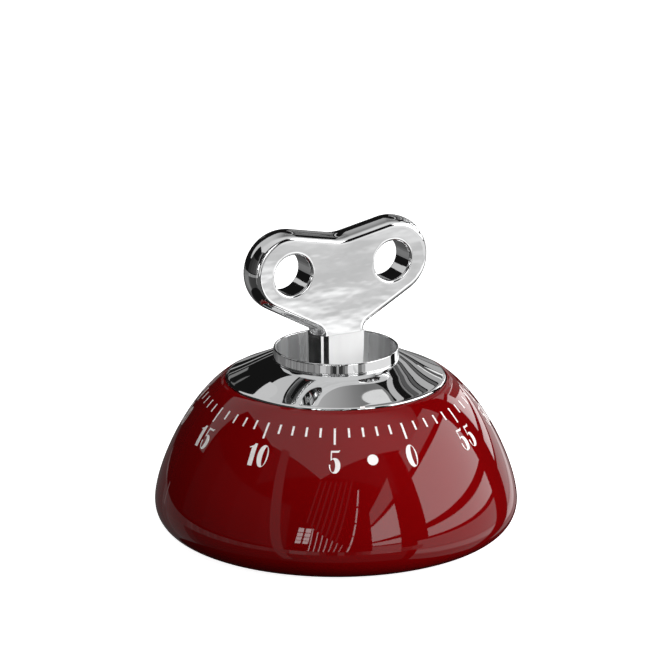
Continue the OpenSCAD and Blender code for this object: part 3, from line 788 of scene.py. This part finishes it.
def panel(name, corners, strength):
    """A glowing flat card. The camera doesn't see it, so it shows only in reflections."""
    bm = bmesh.new()
    bm.faces.new([bm.verts.new(Vector(c) * STUDIO) for c in corners])
    mesh = bpy.data.meshes.new(name)
    bm.to_mesh(mesh)
    bm.free()
    board = bpy.data.objects.new(name, mesh)
    bpy.context.scene.collection.objects.link(board)
    mat = bpy.data.materials.new(name)
    mat.use_nodes = True
    nodes, links = mat.node_tree.nodes, mat.node_tree.links
    nodes.clear()
    glow = nodes.new("ShaderNodeEmission")
    glow.inputs["Strength"].default_value = strength
    out = nodes.new("ShaderNodeOutputMaterial")
    links.new(glow.outputs["Emission"], out.inputs["Surface"])
    mesh.materials.append(mat)
    board.visible_camera = False
    board.visible_shadow = False
    return board


def direction(azimuth, elevation, reach=1.0):
    """A point in a direction: azimuth 0 is the front and 90 the right, both in degrees."""
    a, e = math.radians(azimuth), math.radians(elevation)
    return (reach * math.sin(a) * math.cos(e), -reach * math.cos(a) * math.cos(e),
            reach * math.sin(e))


def grade(board, axis, stops):
    """Lets a panel's glow vary along an axis of the room. stops are places and strengths. Returns
    the glow's socket, and the node that splits a place into its coordinates."""
    tree = board.active_material.node_tree
    nodes, links = tree.nodes, tree.links
    where = nodes.new("ShaderNodeTexCoord")
    split = nodes.new("ShaderNodeSeparateXYZ")
    links.new(where.outputs["Object"], split.inputs[0])
    span = nodes.new("ShaderNodeMapRange")
    low, high = stops[0][0], stops[-1][0]
    span.inputs["From Min"].default_value = low * STUDIO
    span.inputs["From Max"].default_value = high * STUDIO
    links.new(split.outputs[axis], span.inputs["Value"])
    ramp = nodes.new("ShaderNodeValToRGB")
    marks = ramp.color_ramp.elements
    while len(marks) < len(stops):
        marks.new(0.5)
    for mark, (place, glow) in zip(marks, stops):
        mark.position = (place - low) / (high - low)
        mark.color = (glow / 2, glow / 2, glow / 2, 1)  # a ramp holds up to 1, so it is halved here
    links.new(span.outputs["Result"], ramp.inputs["Fac"])
    double = nodes.new("ShaderNodeMath")
    double.operation = "MULTIPLY"
    double.inputs[1].default_value = 2.0
    links.new(ramp.outputs["Color"], double.inputs[0])
    links.new(double.outputs["Value"], nodes["Emission"].inputs["Strength"])
    return double.outputs["Value"], split


# The floor's glow under the windows, by height in the mirror: where, and how strong
FLOOR_GLOW = [(-1.0, 0.4), (-0.6, 0.4), (-0.52, 1.25), (-0.4, 1.3), (-0.335, 1.2),
              (-0.325, 1.0), (-0.318, 0.9), (-0.31, 0.76), (-0.302, 0.64), (-0.285, 0.66),
              (-0.26, 0.84), (-0.03, 0.86)]


def window_wall():
    """Three tall window bays in the right wall, and their dimmer image in the floor."""
    bays = [(-2.475, -1.19), (-0.625, 0.53), (1.0, 3.7)]
    rows = [(0.01, 0.135, 2.6), (0.205, 0.70, 3.0), (0.78, 1.12, 0.95)]
    for i, (y0, y1) in enumerate(bays):
        for j, (z0, z1, strength) in enumerate(rows):
            panel(f"window_{i}_{j}", [(1, y0, z0), (1, y1, z0), (1, y1, z1), (1, y0, z1)], strength)
    z0, z1 = FLOOR_GLOW[0][0], FLOOR_GLOW[-1][0]
    for i, (y0, y1) in enumerate(bays):
        front = y0 - 0.2 if i == 1 else y0  # the middle image reaches a little further forward
        image = panel(f"floor_{i}", [(1, front, z0), (1, y1, z0), (1, y1, z1), (1, front, z1)], 1)
        grade(image, "Z", FLOOR_GLOW)


def card(name, corners, strength):
    """A panel whose corners are given as directions."""
    panel(name, [direction(*c) for c in corners], strength)


def strip(name, a0, a1, e0, e1, strength):
    """A card between two azimuths and two elevations."""
    card(name, [(a0, e0), (a1, e0), (a1, e1), (a0, e1)], strength)


def slant(name, a, e, width, rise, lean, strength):
    """A leaning card: the azimuth and elevation of its foot, its width and rise, and how far its
    top is shifted."""
    card(name, [(a, e), (a + width, e), (a + lean + width, e + rise), (a + lean, e + rise)],
         strength)


# How the ceiling's glow falls away from left to right above the back: where, and how strong
BACK_GLOW = [(-0.95, 0.62), (-0.5, 0.57), (-0.3, 0.54), (-0.12, 0.46), (0.02, 0.34), (0.12, 0.23),
             (0.2, 0.17), (0.34, 0.2), (0.6, 0.26)]
FRONT_GLOW = 0.72


def skylight():
    """The pale ceiling: bright above the front, where it ends in a corner, and falling away from
    left to right above the back."""
    outline = [(-0.26, -1.22), (0.588, -0.69), (1.0, -0.44), (1.0, 0.1)]
    for i in range(32):
        x = 0.6 - 0.05 * i
        reach = 0.74 + 0.32 * min(1, max(0, (0.24 - x) / 0.3))
        outline.append((x, math.sqrt(max(0.01, reach ** 2 - x ** 2))))
    ceiling = panel("skylight", [(x, y, 1.0) for x, y in outline + [(-0.87, -0.43)]], 1.0)
    glow, split = grade(ceiling, "X", BACK_GLOW)
    tree = ceiling.active_material.node_tree
    nodes, links = tree.nodes, tree.links
    back = nodes.new("ShaderNodeMapRange")
    back.interpolation_type = "SMOOTHSTEP"
    back.inputs["From Min"].default_value = -0.15 * STUDIO
    back.inputs["From Max"].default_value = 0.25 * STUDIO
    links.new(split.outputs["Y"], back.inputs["Value"])
    mix = nodes.new("ShaderNodeMix")
    mix.inputs["A"].default_value = FRONT_GLOW
    links.new(back.outputs["Result"], mix.inputs["Factor"])
    links.new(glow, mix.inputs["B"])
    links.new(mix.outputs["Result"], nodes["Emission"].inputs["Strength"])


# What the cup's band mirrors: the lowest and highest elevation, and in front the azimuths from
# and to, and the strength
BAND_LOW, BAND_HIGH = -12, -6
BAND_ROW = [(-50, -41, 0.24), (-41, -36, 0.2), (-36, -29, 0.26), (-28.5, -18, 0.62),
            (-18, -10, 0.42), (-10, -6, 0.12), (-6, 1, 0.03), (1, 5, 0.36), (5, 12, 0.04),
            (12, 16, 0.14), (16, 21, 0.3), (21, 31, 0.85), (40, 47, 0.2), (47, 54, 0.4)]

# The dim ground below, from the back round the left to the front: azimuth and strength
LOW_RING = [(-180, 0.08), (-140, 0.1), (-130, 0.2), (-112, 0.2), (-102, 0.05), (-40, 0.04),
            (-20, 0.1), (44, 0.1)]


def between(stops, place):
    """The strength at a place between stops."""
    for (a, low), (b, high) in zip(stops, stops[1:]):
        if a <= place <= b:
            return low + (high - low) * (place - a) / (b - a)
    return stops[-1][1]


def left_wall():
    """A dim wall on the left with a skirting, dim ground, a pale patch and a slanted post."""
    for a in range(-110, -30, 20):
        strip(f"left_wall_{-a}", a, a + 20, -4, 25, 0.03 + 0.0007 * (a + 110))
    for i in range(34):
        a = -152 + 3 * i
        behind = -142 < a < -106  # here it is even, and elsewhere it is broken into bars
        width, strength = (3, 0.18) if behind else (2.8, 0.2 + 0.03 * (i * 7 % 5))
        strip(f"left_skirting_{i}", a, a + width, BAND_LOW, BAND_HIGH, strength)
    for a in range(-180, 44, 8):
        top = BAND_LOW if a > -148 else -7  # up to the skirting, where there is one
        strip(f"low_ring_{a + 180}", a, a + 8, -34, top, between(LOW_RING, a + 4))
    card("left_patch", [(-153, 42), (-118, 14), (-112, 16), (-114, 52), (-150, 52)], 0.6)
    card("post", [(-33, -28), (-27, -28), (-44, 48), (-52, 48)], 0.3)


def front_wall():
    """What stands in front: a small lattice window, a blind with its rays above, a lamp tube in
    pieces, the row that the cup's band mirrors, and a faint haze over it all."""
    for i in range(2):
        for j in range(4):
            slant(f"lattice_{i}_{j}", -25 + 4.6 * i + 0.5 * j, 3.2 + 3 * j, 3.4, 2.6, 0.5, 5.5)
    for i in range(7):
        a, foot, top = -17 + 3 * i, -5.5, 15 - 2 * i
        slant(f"slat_{i}", a, foot, 0.7, top - foot, 2.5, 4.5 - 0.4 * i)
        slant(f"fan_{i}", a - 2, top + 3, 1.2, 35 - top, 6.8 + i, 0.17)
    for i in range(5):
        slant(f"lamp_tube_{i}", 6 + 2 * i, -5.5 + 8 * i, 1, 7.1, 1.775, 4.5)
    for i, (a0, a1, strength) in enumerate(BAND_ROW):
        strip(f"band_row_{i}", a0, a1, BAND_LOW, BAND_HIGH, strength)
    haze = [direction(a, e, 3) for a, e in ((-60, 27), (45, 27), (45, 46), (-60, 46))]
    panel("front_haze", haze, 0.06)


# Beams behind on the right: where each slanting band starts and ends, and its strength
BEAMS = [(146, 150.5, 0.14), (151, 155, 0.3), (155.6, 160, 0.42), (161.5, 163.2, 0.1),
         (163.8, 166.6, 0.4), (167.4, 169, 0.12), (169.5, 172.8, 0.46), (173.4, 175, 0.11),
         (175.5, 177, 0.3), (177, 179.2, 0.1), (179.4, 180.4, 0.2), (184, 187.5, 0.5)]
BEAM_SLOPE = 0.9


def back_wall():
    """Beams behind the object, which the disc mirrors, a bright line, and rails and ledges."""
    for i, (c0, c1, strength) in enumerate(BEAMS):
        for k, (a0, a1) in enumerate(((178, 166), (166, 156), (156, 142))):
            drop0, drop1 = BEAM_SLOPE * a0, BEAM_SLOPE * a1
            card(f"beam_{i}_{k}", [(a0, c0 - drop0), (a1, c0 - drop1),
                                   (a1, c1 - drop1), (a0, c1 - drop0)], strength)
    card("bright_line", [(150.5, 55), (152.5, 55), (161, 65), (158, 65)], 0.75)
    card("rail_low", [(-178, -7), (-164, -7), (-163, -1), (-178, -1)], 0.3)
    card("rail_mid", [(-176, 5), (-164, 5.5), (-163, 7), (-176, 7)], 0.42)
    card("rail_top", [(-174, 11), (-162, 11.5), (-160, 12.5), (-174, 12.5)], 0.25)
    card("ledge_low", [(-164, 14.5), (-158, 14.5), (-156, 19), (-162, 18)], 0.2)
    card("ledge_top", [(-159, 21), (-155, 22), (-154, 27), (-158, 26)], 0.14)
    card("thin_line", [(-136, -12), (-135, -12), (-133, -4), (-134, -4)], 0.4)


def floor():
    """A plain pale floor. It stays out of the reflections, where the studio shows instead."""
    bm = bmesh.new()
    bmesh.ops.create_grid(bm, x_segments=8, y_segments=8, size=6)
    mesh = bpy.data.meshes.new("floor")
    bm.to_mesh(mesh)
    bm.free()
    ground = bpy.data.objects.new("floor", mesh)
    bpy.context.scene.collection.objects.link(ground)
    mat = bpy.data.materials.new("pale_floor")
    mat.use_nodes = True
    shader = mat.node_tree.nodes["Principled BSDF"]
    shader.inputs["Base Color"].default_value = (0.8, 0.8, 0.8, 1)
    shader.inputs["Roughness"].default_value = 0.9
    shader.inputs["Specular IOR Level"].default_value = 0.0
    shader.inputs["Emission Color"].default_value = (1, 1, 1, 1)
    shader.inputs["Emission Strength"].default_value = 0.93
    mesh.materials.append(mat)
    ground.visible_glossy = False
    ground.visible_diffuse = False


def world():
    """White to the camera, and a dim room to everything else."""
    sky = bpy.data.worlds.new("studio")
    bpy.context.scene.world = sky
    sky.use_nodes = True
    nodes, links = sky.node_tree.nodes, sky.node_tree.links
    nodes.clear()
    path = nodes.new("ShaderNodeLightPath")
    room = nodes.new("ShaderNodeBackground")
    room.inputs["Color"].default_value = (0.008, 0.008, 0.008, 1)
    seen = nodes.new("ShaderNodeBackground")
    seen.inputs["Color"].default_value = (1, 1, 1, 1)
    mix = nodes.new("ShaderNodeMixShader")
    out = nodes.new("ShaderNodeOutputWorld")
    links.new(path.outputs["Is Camera Ray"], mix.inputs[0])
    links.new(room.outputs[0], mix.inputs[1])
    links.new(seen.outputs[0], mix.inputs[2])
    links.new(mix.outputs[0], out.inputs["Surface"])


def soft_light(name, place, aim, size, power, cone=None):
    """A soft lamp that lights the colour of things and stays out of their reflections. With a
    cone in degrees it is a narrow spot."""
    data = bpy.data.lights.new(name, "SPOT" if cone else "AREA")
    if cone:
        data.spot_size, data.spot_blend = math.radians(cone), 0.3
        data.shadow_soft_size = size
    else:
        data.shape, data.size = "DISK", size
    data.energy = power
    lamp = bpy.data.objects.new(name, data)
    lamp.location = place
    lamp.rotation_euler = (Vector(aim) - Vector(place)).to_track_quat("-Z", "Y").to_euler()
    lamp.visible_glossy = False
    bpy.context.scene.collection.objects.link(lamp)


def camera():
    """A long lens from the front, a little above the rim."""
    target = Vector((0, 0, 0.025))
    distance, elevation, tilt = 0.7, math.radians(18.1), math.radians(1.224)
    away = Vector((0, -math.cos(elevation), math.sin(elevation)))
    data = bpy.data.cameras.new("camera")
    data.lens = 180
    data.sensor_width = 36
    data.clip_start = 0.01
    eye = bpy.data.objects.new("camera", data)
    eye.location = target + away * distance
    eye.rotation_euler = (math.pi / 2 - elevation + tilt, 0, 0)
    bpy.context.scene.collection.objects.link(eye)
    bpy.context.scene.camera = eye


# ---------------------------------------------------------------- the object

camera()
red_casing = casing()
white_print = [minute_marks(), numerals(), setting_dot(), index_mark()]
polished = [top_disc(), key_cup(), winding_key()]

slot_of = {part["node"]: part["material_slot"] for part in frame["record"]["subparts"]}
for node, obj in frame["nodes"].items():
    dress(obj, MATERIALS[slot_of[node]])
dress(red_casing, MATERIALS["casing_red"])
for obj in white_print:
    dress(obj, PRINT_WHITE)
for obj in polished:
    dress(obj, MATERIALS["key_chrome" if obj.name == "butterfly_key" else "chrome"])
line_cup(polished[1])
face_stem(polished[2])

window_wall()
skylight()
left_wall()
front_wall()
back_wall()
floor()
world()
soft_light("key_light", (0.9, -0.9, 1.0), (0, 0, 0.03), 0.9, 12)
soft_light("cup_light", (0.25, -0.55, 0.5), (0, 0, 0.038), 0.05, 14, cone=2.9)
soft_light("fill_light", (-0.9, -0.6, 0.9), (0, 0, 0.03), 0.9, 1.4)
bpy.context.scene.view_settings.view_transform = "Standard"
